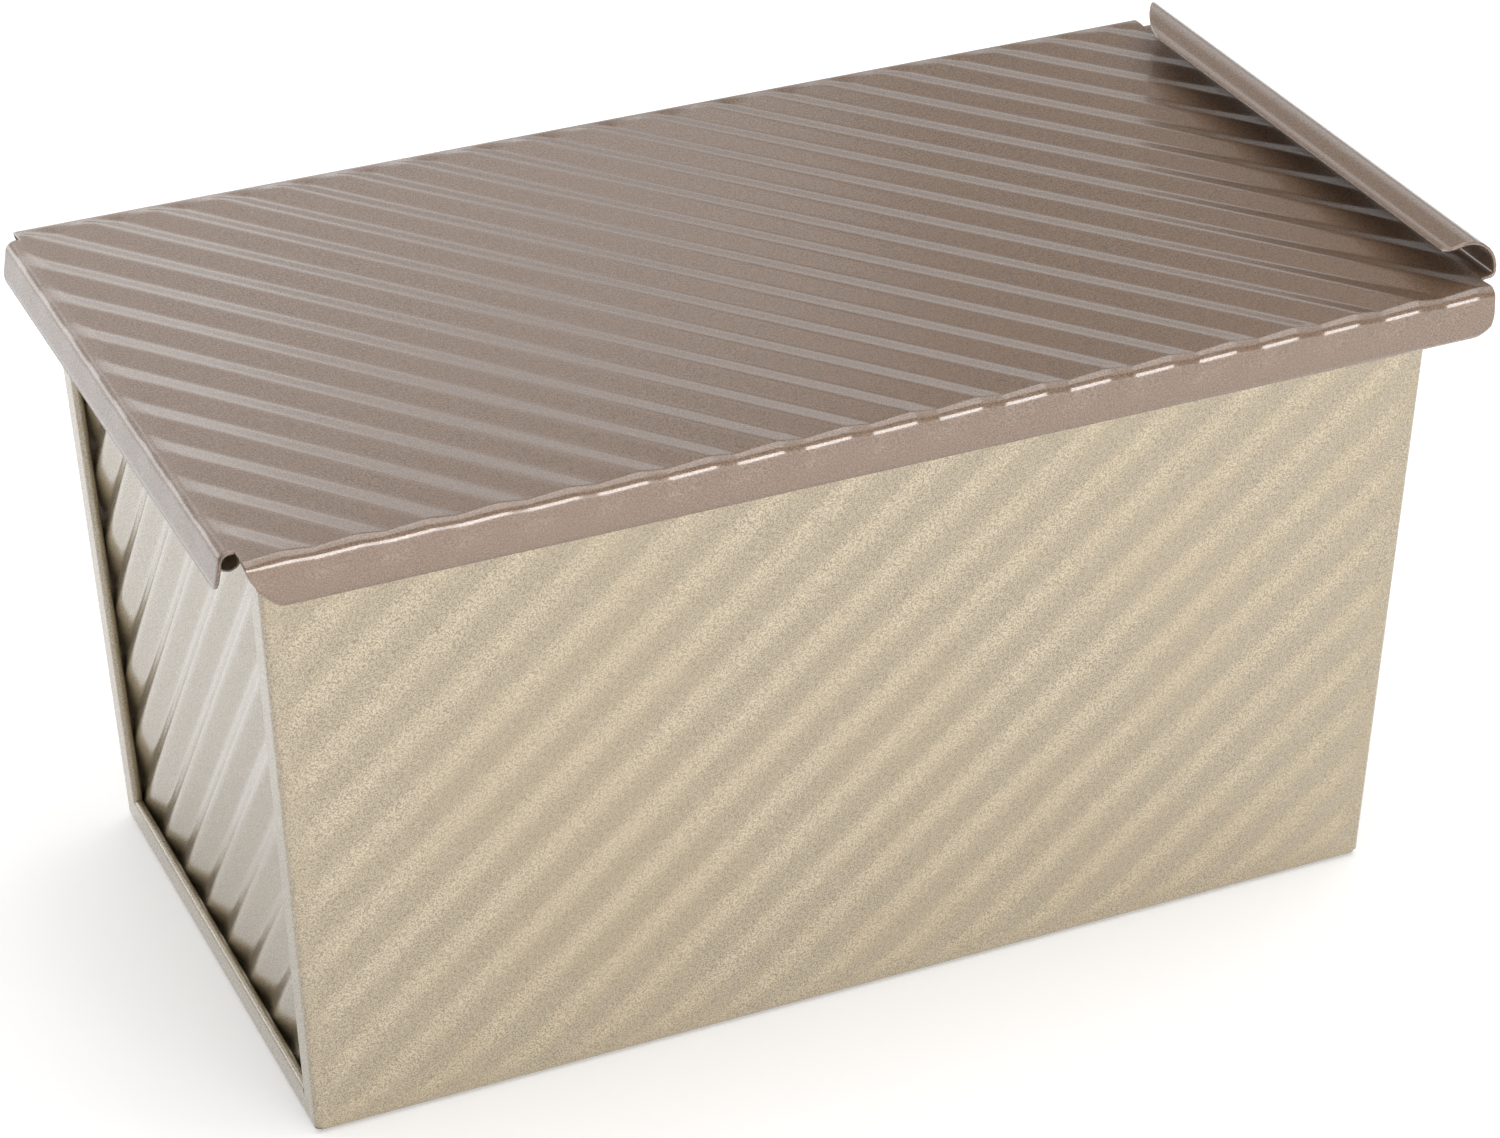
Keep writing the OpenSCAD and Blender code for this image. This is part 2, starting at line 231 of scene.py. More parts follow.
@dataclass(frozen=True)
class LidSizes:
    """Driving sizes of the lid in metres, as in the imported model."""

    pan: PanSizes = PanSizes()
    lid_gap: float = 0.25 * MM
    skirt_gap: float = 0.5 * MM
    skirt_h: float = 9.0 * MM
    fold_r: float = 2.0 * MM
    hook_bend: float = 1.25 * MM
    hook_sweep: float = math.radians(110.0)
    corner_lip: tuple[float, float] = (6.0 * MM, 8.5 * MM)
    corner_grip: tuple[float, float] = (3.6 * MM, 5.04 * MM)
    corner_slant: float = 1.4
    stop_gap: float = 0.3 * MM
    lip_h: float = 6.7 * MM
    lip_splay: float = math.radians(8.0)
    lip_corner_r: float = 2.0 * MM
    flap_inset: float = 5.0 * MM
    lip_notch: float = 0.8 * MM
    grip_reach: float = 9.8 * MM
    grip_notch: float = 1.65 * MM
    grip_lean: float = math.radians(85.0)
    grip_bend: float = 1.0 * MM
    grip_r: float = 6.0 * MM
    grip_turn: float = math.radians(108.0)
    flick_run: float = 1.2 * MM
    flick_bend: float = 3.0 * MM
    flick_turn: float = math.radians(20.0)
    flick_length: float = 1.6 * MM
    grip_corner_r: float = 42.0 * MM

    @property
    def mid(self) -> float:
        """Height of the sheet's middle in the lid's flat top."""
        return self.pan.rim_h + self.lid_gap + self.pan.wave_rise + self.pan.sheet / 2.0

    @property
    def bend(self) -> float:
        """Radius of the lid's folds, to the sheet's middle."""
        return self.fold_r - self.pan.sheet / 2.0

    @property
    def skirt_y(self) -> float:
        """Distance of the skirt's outer face from the middle."""
        return self.pan.side_bead_y + self.pan.bead_d / 2.0 + self.skirt_gap + self.pan.sheet

    @property
    def fold_y(self) -> float:
        """Distance from the middle at which the skirt's fold starts."""
        return self.skirt_y - self.fold_r

    @property
    def flap_y(self) -> float:
        """Half width of lip and handle."""
        return self.skirt_y - self.flap_inset

    @property
    def lip_x(self) -> float:
        """Distance from the middle at which the lip's fold starts."""
        drop = self.mid - self.bend * (1.0 - math.sin(self.lip_splay)) - self.pan.rim_mid
        lead = (drop + self.pan.bead_r) * math.tan(self.lip_splay)
        seat = self.pan.end_bead_x + self.pan.bead_d / 2.0 + self.stop_gap
        skin = self.pan.sheet / 2.0 / math.cos(self.lip_splay)
        return seat + skin - lead - self.bend * math.cos(self.lip_splay)

    @property
    def grip_x(self) -> float:
        """Distance from the middle at which the handle's fold starts."""
        return self.pan.rim_half + self.grip_reach

    @property
    def skirt_x0(self) -> float:
        """Distance of the skirt's end from the middle, at the lip."""
        return self.lip_x - self.lip_notch

    @property
    def skirt_x1(self) -> float:
        """Distance of the skirt's end from the middle, at the handle."""
        return self.grip_x - self.grip_notch


def add_object(name: str, data: ID) -> Object:
    """Adds an object of a mesh, a lamp or a camera to the scene, and returns it."""
    made = bpy.data.objects.new(name, data)
    bpy.context.scene.collection.objects.link(made)
    return made


def set_inputs(node: Node, values: dict[str, float | Sequence[float]]) -> None:
    """Sets a node's own sockets by their names."""
    for title, value in values.items():
        node.inputs[title].default_value = value


def join(tree: NodeTree, node: Node, output: str, to: Node, inlet: str) -> None:
    """Joins a node's output to an input of another node, both by their names."""
    tree.links.new(node.outputs[output], to.inputs[inlet])


def ease(t: float) -> float:
    """Returns the smooth step from 0 to 1 of a value."""
    t = min(max(t, 0.0), 1.0)
    return t * t * (3.0 - 2.0 * t)


class SheetMesh:
    """A sheet of metal that is cut, folded and given its thickness in one bmesh.

    Faces with more than most_corners corners are the long flat strips beside straight folds.
    """

    most_corners = 8

    def __init__(self, name: str) -> None:
        """Starts an empty sheet.

        Args:
            name: Name of the piece that the sheet becomes.
        """
        self.name = name
        self.bm = bmesh.new()

    def field(
        self, wave: Corrugation, half_u: float, half_v: float, long_step: float = 12.0 * MM
    ) -> None:
        """Lays a grid along the crests that covers a rectangle about the origin.

        Args:
            wave: Corrugation whose crests the grid's long edges follow.
            half_u: Half length of the rectangle.
            half_v: Half width of the rectangle.
            long_step: Spacing of the grid along the crests.
        """
        reach = math.hypot(half_u, half_v)
        waves = math.ceil(reach / wave.pitch) + 1
        half_across = waves * wave.pitch
        half_along = math.ceil(reach / long_step) * long_step
        bmesh.ops.create_grid(
            self.bm,
            x_segments=int(round(2.0 * half_along / long_step)),
            y_segments=2 * waves * wave.steps,
            size=1.0,
            matrix=Matrix.Rotation(wave.angle, 4, "Z")
            @ Matrix.Translation((0.0, wave.phase, 0.0))
            @ Matrix.Diagonal((half_along, half_across, 1.0, 1.0)),
        )

    def cut(
        self, point: Sequence[float], normal: Sequence[float], keep_inner: bool = False,
        faces: Iterable[BMFace] | None = None,
    ) -> None:
        """Cuts the sheet, or some of its faces, along a plane, in the same order each run.

        Args:
            point: A point on the plane.
            normal: Normal of the plane, which points to the waste.
            keep_inner: Whether the waste on the normal's side is removed.
            faces: Faces that are cut, or None for the whole sheet.
        """
        if faces is None:
            geom = [*self.bm.verts, *self.bm.edges, *self.bm.faces]
        else:
            chosen = list(faces)
            verts = dict.fromkeys(v for f in chosen for v in f.verts)
            edges = dict.fromkeys(e for f in chosen for e in f.edges)
            geom = [*verts, *edges, *chosen]
        bmesh.ops.bisect_plane(self.bm, geom=geom, dist=CUT_SNAP, plane_co=Vector(point),
                               plane_no=Vector(normal), clear_outer=keep_inner)

    def scores(self, axis: int, places: Iterable[float]) -> None:
        """Adds score lines across the flat sheet, at places along one axis."""
        normal = Vector((0.0, 0.0, 0.0))
        normal[axis] = 1.0
        for place in places:
            self.cut(normal * place, normal)

    def faces_where(self, test: Callable[[Vector], bool]) -> list[BMFace]:
        """Returns the faces whose middle passes a test."""
        return [f for f in self.bm.faces if test(f.calc_center_median())]

    def faces_since(self, before: set[BMFace]) -> list[BMFace]:
        """Returns the faces that the sheet has gained since an earlier set."""
        return [f for f in self.bm.faces if f not in before]

    def border(self, test: Callable[[Vector, Vector], bool]) -> list[BMEdge]:
        """Returns the border edges whose two ends pass a test."""
        return [e for e in self.bm.edges if e.is_boundary and test(e.verts[0].co, e.verts[1].co)]

    def plain_border(self, test: Callable[[Vector, Vector], bool]) -> list[BMEdge]:
        """Makes a straight border one edge, so that the folds beyond it have few faces.

        Args:
            test: Test that the two ends of each border edge pass.

        Returns:
            The border edges that are left.
        """
        edges = self.border(test)
        ends = dict.fromkeys(v for e in edges for v in e.verts)
        inner = [v for v in ends if sum(n in edges for n in v.link_edges) == 2]
        bmesh.ops.dissolve_verts(self.bm, verts=inner)
        return self.border(test)

    def turn(
        self, edges: list[BMEdge], centre: Vector, axis: Vector, angle: float,
        step: float = math.radians(12.0),
    ) -> list[BMEdge]:
        """Rolls the sheet on from an edge about an axis.

        Args:
            edges: Border edges that the new stretch starts from.
            centre: A point on the axis of the bend.
            axis: Direction of the axis.
            angle: Angle of the bend, signed about the axis.
            step: Largest angle of one row of faces.

        Returns:
            The border edges at the end of the bend.
        """
        steps = max(2, math.ceil(abs(angle) / step))
        made = bmesh.ops.spin(self.bm, geom=edges, cent=centre, axis=axis, angle=angle, steps=steps,
                              use_duplicate=False)
        return [g for g in made["geom_last"] if isinstance(g, BMEdge)]

    def run(self, edges: list[BMEdge], offset: Vector, rows: int = 1) -> list[BMEdge]:
        """Carries the sheet straight on from an edge.

        Args:
            edges: Border edges that the new stretch starts from.
            offset: Length and direction of the stretch.
            rows: Number of rows of faces.

        Returns:
            The border edges at the end of the stretch.
        """
        for _ in range(rows):
            made = bmesh.ops.extrude_edge_only(self.bm, edges=edges)["geom"]
            verts = {g for g in made if isinstance(g, BMVert)}
            bmesh.ops.translate(self.bm, verts=list(verts), vec=offset / rows)
            edges = [g for g in made if isinstance(g, BMEdge) and verts.issuperset(g.verts)]
        return edges

    def strip(
        self, edges: list[BMEdge], heading: Vector, outward: Vector,
        steps: Sequence[tuple[float, float, float]],
    ) -> list[BMEdge]:
        """Folds the sheet on from a straight edge, through runs and bends.

        Args:
            edges: Border edges that the strip starts from, all on one line.
            heading: Direction in which the sheet runs on.
            outward: Direction square to the sheet on the side that positive bends turn towards.
            steps: Each step is a straight run, a bend's radius and its angle.

        Returns:
            The border edges at the end of the strip.
        """
        heading, outward = heading.normalized(), outward.normalized()
        axis = heading.cross(outward)
        for length, radius, angle in steps:
            if length > 0.0:
                edges = self.run(edges, heading * length)
            if angle:
                start = min((v.co for e in edges for v in e.verts), key=tuple)
                centre = start + outward * math.copysign(radius, angle)
                edges = self.turn(edges, centre, axis, angle)
                turned = Matrix.Rotation(angle, 3, axis)
                heading, outward = turned @ heading, turned @ outward
        return edges

    def round_corner(
        self, centre: Vector, way: Vector, radii: tuple[float, float], verts: Iterable[BMVert],
        power: float = 2.0,
    ) -> None:
        """Rounds a lower corner by drawing the vertices of its square into part of an oval.

        Args:
            centre: Centre of the rounding.
            way: Level direction from the centre to the upright edge.
            radii: Half axes of the oval, along that direction and down.
            verts: Vertices that may move.
            power: Exponent of the oval: 2 for an ellipse, less for a more slanted corner.
        """
        # Vertices past the square count as lying this far at most
        farthest = 1.2
        for vert in verts:
            a = (vert.co - centre).dot(way) / radii[0]
            b = (vert.co - centre).dot(DOWN) / radii[1]
            if a > 0.0 and b > 0.0:
                new_a = a * max(1.0 - 0.5 * min(b, farthest) ** power, 0.0) ** (1.0 / power)
                new_b = b * max(1.0 - 0.5 * min(a, farthest) ** power, 0.0) ** (1.0 / power)
                vert.co += way * (new_a - a) * radii[0] + DOWN * (new_b - b) * radii[1]

    def _sort(self, items: BMVertSeq | BMFaceSeq, place: Callable[..., Vector]) -> None:
        """Sorts vertices or faces by their place, which gives the same mesh each run."""
        order = sorted(items, key=lambda item: place(item).to_tuple())
        rank = {item: k for k, item in enumerate(order)}
        items.sort(key=rank.get)

    def finish(
        self, thickness: float, node: str, body: Body, material: Material
    ) -> Object:
        """Gives the sheet its thickness and makes it the piece that stands for a node.

        Args:
            thickness: Thickness of the sheet.
            node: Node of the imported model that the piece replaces.
            body: Body that it rides on.
            material: Material of its faces.

        Returns:
            The new object.
        """
        self._sort(self.bm.verts, lambda vert: vert.co)
        self._sort(self.bm.faces, lambda face: face.calc_center_median())
        bmesh.ops.remove_doubles(self.bm, verts=self.bm.verts, dist=AT_FOLD)
        loose = [v for v in self.bm.verts if not v.link_faces]
        bmesh.ops.delete(self.bm, geom=loose, context="VERTS")
        bmesh.ops.recalc_face_normals(self.bm, faces=self.bm.faces)
        for face in self.bm.faces:
            face.smooth = len(face.verts) <= self.most_corners
        mesh = bpy.data.meshes.new(self.name)
        self.bm.to_mesh(mesh)
        self.bm.free()
        mesh.materials.append(material)
        piece = add_object(self.name, mesh)
        wall = piece.modifiers.new("sheet_thickness", "SOLIDIFY")
        wall.thickness = thickness
        wall.offset = 0.0
        wall.use_quality_normals = True
        even = piece.modifiers.new("even_shading", "WEIGHTED_NORMAL")
        even.mode = "FACE_AREA_WITH_ANGLE"
        even.weight = 50
        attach(piece, body.value)
        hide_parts(node)
        LOG.info("%s: %d faces before its thickness", self.name, len(mesh.polygons))
        return piece


def fade_places(edge: float, width: float, rows: int) -> list[float]:
    """Returns the places of the score lines that a wave's fade needs beside an edge."""
    return [edge - math.copysign(PLAIN_EDGE + width * k / rows, edge) for k in range(rows + 1)]


@dataclass
class Wrap:
    """The sheet that makes the base and both long walls, with its seams and long rims.

    A border edge beyond end_share of the half length belongs to an end, and an edge whose direction
    has more than upright along Z belongs to a wall.
    """

    sizes: PanSizes
    material: Material
    wave: Corrugation = Corrugation(
        angle=math.radians(-40.5), phase=4.4 * MM, pitch=9.05 * MM, height=0.85 * MM,
        rounding=0.75 * MM,
    )
    fade: float = 4.0 * MM
    fade_rows: int = 5
    bend_rows: int = 7
    end_share: float = 0.9
    upright: float = 0.9

    @property
    def bend_r(self) -> float:
        """Radius of the bottom folds, to the sheet's middle."""
        return self.sizes.fold_r - self.sizes.sheet / 2.0

    @property
    def bend_v(self) -> float:
        """Place across the flat sheet at which a bottom fold starts."""
        return self.sizes.body_w / 2.0 - self.sizes.fold_r

    @property
    def wall_v(self) -> float:
        """Place across the flat sheet at which a bottom fold ends and a wall starts."""
        return self.bend_v + self.bend_r * (RIGHT_ANGLE - self.sizes.draft)

    @property
    def base_z(self) -> float:
        """Height of the base's middle."""
        return self.sizes.wave_rise + self.sizes.sheet / 2.0

    @property
    def foot(self) -> Vector:
        """Point (y, z) at which the far wall leaves its bottom fold."""
        return self.in_fold(RIGHT_ANGLE - self.sizes.draft)

    @property
    def top_v(self) -> float:
        """Place across the flat sheet at which a wall ends below its rim."""
        top_z = self.sizes.rim_mid - self.sizes.rim_bend * (1.0 - math.sin(self.sizes.draft))
        return self.wall_v + (top_z - self.foot.y) / math.cos(self.sizes.draft)

    @property
    def end_zone(self) -> float:
        """Distance from the middle beyond which a border belongs to an end."""
        return self.end_share * self.end_u(0.0)

    def in_fold(self, turn: float) -> Vector:
        """Returns the point (y, z) of the far bottom fold's middle, an angle into the fold."""
        y = self.bend_v + self.bend_r * math.sin(turn)
        return Vector((y, self.base_z + self.bend_r * (1.0 - math.cos(turn))))

    def place(self, v: float) -> tuple[Vector, Vector]:
        """Folds one place across the flat sheet into the pan's section.

        Args:
            v: Place across the flat sheet, from its middle.

        Returns:
            The point (y, z) of the sheet's middle there and the direction that faces outwards.
        """
        side = math.copysign(1.0, v)
        v = abs(v)
        if v <= self.bend_v:
            return Vector((side * v, self.base_z)), Vector((0.0, -1.0))
        if v < self.wall_v:
            turn = (v - self.bend_v) / self.bend_r
            at = self.in_fold(turn)
            return Vector((side * at.x, at.y)), Vector((side * math.sin(turn), -math.cos(turn)))
        up = v - self.wall_v
        y = self.foot.x + up * math.sin(self.sizes.draft)
        z = self.foot.y + up * math.cos(self.sizes.draft)
        out = Vector((side * math.cos(self.sizes.draft), -math.sin(self.sizes.draft)))
        return Vector((side * y, z)), out

    def end_u(self, v: float) -> float:
        """Returns the half length of the flat sheet at a place across it, up to the seam's fold."""
        up = max(abs(v) - self.wall_v, 0.0)
        return self.sizes.body_l / 2.0 - self.sizes.fold_r + self.sizes.lean * up

    def strength(self, u: float, v: float) -> float:
        """Returns how much of the wave is left, which fades towards folds, seams and rims."""
        to_end = self.end_u(v) - abs(u)
        to_top = self.top_v - abs(v)
        middle = (self.bend_v + self.wall_v) / 2.0
        to_fold = abs(abs(v) - middle) - (self.wall_v - self.bend_v) / 2.0
        share = 1.0
        for gap in (to_end, to_top, to_fold):
            share *= ease((gap - PLAIN_EDGE) / self.fade)
        return share

    def make(self) -> Object:
        """Cuts, folds and rolls the wrap.

        Returns:
            The finished piece.
        """
        s = self.sizes
        sheet = SheetMesh("pan_wrap")
        sheet.field(self.wave, self.end_u(self.top_v) + s.fold_r, self.top_v)
        for side in SIDES:
            sheet.cut((0.0, side * self.top_v, 0.0), (0.0, side, 0.0), True)
            bends = [self.bend_v + (self.wall_v - self.bend_v) * k / self.bend_rows
                     for k in range(self.bend_rows + 1)]
            sheet.scores(1, [side * place for place in bends])
            for edge in (self.top_v, self.bend_v):
                sheet.scores(1, fade_places(side * edge, self.fade, self.fade_rows))
            walls = fade_places(self.wall_v, self.fade, self.fade_rows)
            sheet.scores(1, [side * (2.0 * self.wall_v - place) for place in walls])
        self._cut_ends(sheet)
        self._fold_up(sheet)
        for end in SIDES:
            for side in SIDES:
                self._fold_side_seam(sheet, end, side)
            self._fold_bottom_seam(sheet, end)
        for side in SIDES:
            self._roll_rim(sheet, side)
        return sheet.finish(s.sheet, "body_wrap", Body.PAN, self.material)

    def _cut_ends(self, sheet: SheetMesh) -> None:
        """Cuts both ends of the flat sheet square and scores the wave's fade there."""
        for end in SIDES:
            place = end * self.end_u(0.0)
            sheet.scores(0, fade_places(place, self.fade, self.fade_rows))
            sheet.cut((place, 0.0, 0.0), (end, 0.0, 0.0), True)

    def _fold_up(self, sheet: SheetMesh) -> None:
        """Folds the flat sheet into base and walls, which flare, and presses the wave into it."""
        for vert in sheet.bm.verts:
            u, v = vert.co.x, vert.co.y
            at, out = self.place(v)
            flare = self.end_u(v) / self.end_u(0.0)
            lift = self.wave.lift(u, v) * self.strength(u * flare, v)
            vert.co = Vector((u * flare, at.x + out.x * lift, at.y + out.y * lift))

    def _roll_rim(self, sheet: SheetMesh, side: float) -> None:
        """Turns the top of a wall out over a ledge into its hollow bead."""
        s = self.sizes
        at, out = self.place(side * self.top_v)
        up = Vector((0.0, side * math.sin(s.draft), math.cos(s.draft)))
        outward = Vector((0.0, out.x, out.y))
        edges = sheet.plain_border(lambda a, b: min(a.z, b.z) > at.y - ON_LINE
                                   and min(side * a.y, side * b.y) > 0.0)
        ledge = s.side_bead_y - abs(at.x) - s.rim_bend * math.cos(s.draft)
        sheet.strip(edges, up, outward,
                    [(0.0, s.rim_bend, RIGHT_ANGLE - s.draft), (ledge, s.bead_r, s.bead_turn)])

    def _seam_steps(self, angle: float) -> list[tuple[float, float, float]]:
        """Returns the folds of a seam: a face in the end's plane, a return and an inner leg.

        Args:
            angle: Angle of the fold between the sheet and the seam's face.

        Returns:
            The steps, as a strip takes them.
        """
        s = self.sizes
        leg = s.hem_w - s.hem_turn_r - s.sheet / 2.0
        inner = leg - 2.0 * (s.sheet + s.hem_gap) - s.hem_gap
        return [(0.0, self.bend_r, -angle), (s.face_w, s.hem_turn_r, -math.pi), (inner, 0.0, 0.0)]

    def _fold_side_seam(self, sheet: SheetMesh, end: float, side: float) -> None:
        """Folds one upright seam, which ends below the long rim's fold.

        Args:
            sheet: The wrap's sheet.
            end: End of the pan, -1 for the left one.
            side: Side of the pan, -1 for the near one.
        """
        s = self.sizes
        edges = sheet.border(lambda a, b: min(end * a.x, end * b.x) > self.end_zone
                             and min(side * a.y, side * b.y) > self.foot.x - AT_FOLD
                             and abs((a - b).normalized().z) > self.upright)
        before = set(sheet.bm.faces)
        along = Vector((end * s.lean, side * math.sin(s.draft), math.cos(s.draft))).normalized()
        heading = Vector((end, 0.0, 0.0))
        heading = (heading - along * heading.dot(along)).normalized()
        outward = Vector((0.0, side * math.cos(s.draft), -math.sin(s.draft)))
        square = along.cross(heading)
        outward = square * math.copysign(1.0, square.dot(outward))
        sheet.strip(edges, heading, outward, self._seam_steps(RIGHT_ANGLE))
        sheet.cut((0.0, 0.0, s.seam_top), (0.0, 0.0, 1.0), True, sheet.faces_since(before))
        self._mitre(sheet, end, side, -1.0, before)

    def _fold_bottom_seam(self, sheet: SheetMesh, end: float) -> None:
        """Folds the seam along the bottom of one end."""
        s = self.sizes
        edges = sheet.plain_border(lambda a, b: min(end * a.x, end * b.x) > self.end_zone
                                   and max(a.z, b.z) < s.wave_rise + s.sheet
                                   and max(abs(a.y), abs(b.y)) < self.bend_v + AT_FOLD)
        before = set(sheet.bm.faces)
        sheet.strip(edges, Vector((end, 0.0, 0.0)), DOWN, self._seam_steps(RIGHT_ANGLE - s.draft))
        for side in SIDES:
            self._mitre(sheet, end, side, 1.0, before)

    def _mitre(
        self, sheet: SheetMesh, end: float, side: float, waste: float, before: set[BMFace]
    ) -> None:
        """Cuts a new seam along the mitre of one bottom corner, half the open gap short of it.

        Args:
            sheet: The wrap's sheet.
            end: End of the pan, -1 for the left one.
            side: Side of the pan, -1 for the near one.
            waste: Side of the mitre on which the waste lies, 1 for above.
            before: Faces of the sheet before the seam was folded.
        """
        s = self.sizes
        shift = waste * s.mitre_gap / math.sqrt(2.0)
        corner = Vector((end * s.body_l / 2.0, side * s.body_w / 2.0, s.wave_rise - shift))
        sheet.cut(corner, (0.0, side, waste), True, sheet.faces_since(before))


@dataclass
class EndPanel:
    """Corrugated end of the pan, held in the seams and rolled out over them at its top."""

    sizes: PanSizes
    material: Material
    end: End
    wave: Corrugation = Corrugation(
        angle=math.radians(229.4), phase=3.37 * MM, pitch=9.35 * MM, height=1.3 * MM,
        rounding=0.7 * MM,
    )
    top_fade: float = 4.0 * MM
    fade_rows: int = 5

    def make(self) -> Object:
        """Cuts the panel, presses the wave into it and rolls its rim.

        Returns:
            The finished piece.
        """
        s = self.sizes
        tucked = 2.0 * s.hem_gap + 1.5 * s.sheet
        top_z = s.rim_mid - s.panel_bend * (1.0 - math.sin(s.draft))
        top = (top_z - s.wave_rise - s.panel_depth * math.sin(s.draft)) / math.cos(s.draft)
        sheet = SheetMesh(f"end_panel_{self.end.name.lower()}")
        half = s.body_w / 2.0 - tucked
        middle = top / 2.0
        sheet.field(self.wave, half + s.lean * top, middle)
        bmesh.ops.translate(sheet.bm, verts=sheet.bm.verts, vec=(0.0, middle, 0.0))
        lean = Vector((1.0, -s.lean, 0.0)).normalized()
        for side in SIDES:
            sheet.cut((side * half, 0.0, 0.0), (side * lean.x, lean.y, 0.0), True)
        sheet.cut((0.0, tucked, 0.0), (0.0, -1.0, 0.0), True)
        sheet.cut((0.0, top, 0.0), (0.0, 1.0, 0.0), True)
        sheet.scores(1, fade_places(top, self.top_fade, self.fade_rows))
        self._stand_up(sheet, top)
        self._roll_rim(sheet, top_z)
        if self.end is End.RIGHT:
            half_turn = Matrix.Rotation(math.pi, 3, "Z")
            bmesh.ops.rotate(sheet.bm, verts=sheet.bm.verts, cent=(0.0, 0.0, 0.0), matrix=half_turn)
        node = f"{self.end.name.lower()}_end_panel"
        return sheet.finish(s.sheet, node, Body.PAN, self.material)

    def _stand_up(self, sheet: SheetMesh, top: float) -> None:
        """Presses the wave and stands the flat panel up as the left end of the pan."""
        s = self.sizes
        stand = (
            Matrix.Translation((-s.body_l / 2.0, 0.0, s.wave_rise))
            @ Matrix.Rotation(-s.draft, 4, "Y")
            @ Matrix.Translation((s.panel_depth, 0.0, 0.0))
            @ Matrix.Rotation(-RIGHT_ANGLE, 4, "Z")
            @ Matrix.Rotation(RIGHT_ANGLE, 4, "X")
        )
        for vert in sheet.bm.verts:
            u, v = vert.co.x, vert.co.y
            left = ease((top - v - PLAIN_EDGE) / self.top_fade)
            depth = (self.wave.lift(u, v) - self.wave.height / 2.0) * left
            vert.co = stand @ Vector((u, v, depth))

    def _roll_rim(self, sheet: SheetMesh, turn_z: float) -> None:
        """Turns the top of the panel out over the seam into its hollow bead."""
        s = self.sizes
        edges = sheet.plain_border(lambda a, b: min(a.z, b.z) > turn_z - AT_FOLD)
        for vert in {v for e in edges for v in e.verts}:
            vert.co.y = max(min(vert.co.y, s.end_half), -s.end_half)
        x = s.body_l / 2.0 - s.panel_depth / math.cos(s.draft) + s.slope * (turn_z - s.wave_rise)
        ledge = s.end_bead_x - x - s.panel_bend * math.cos(s.draft)
        up = Vector((-math.sin(s.draft), 0.0, math.cos(s.draft)))
        outward = Vector((-math.cos(s.draft), 0.0, -math.sin(s.draft)))
        sheet.strip(edges, up, outward,
                    [(0.0, s.panel_bend, RIGHT_ANGLE - s.draft), (ledge, s.bead_r, s.bead_turn)])


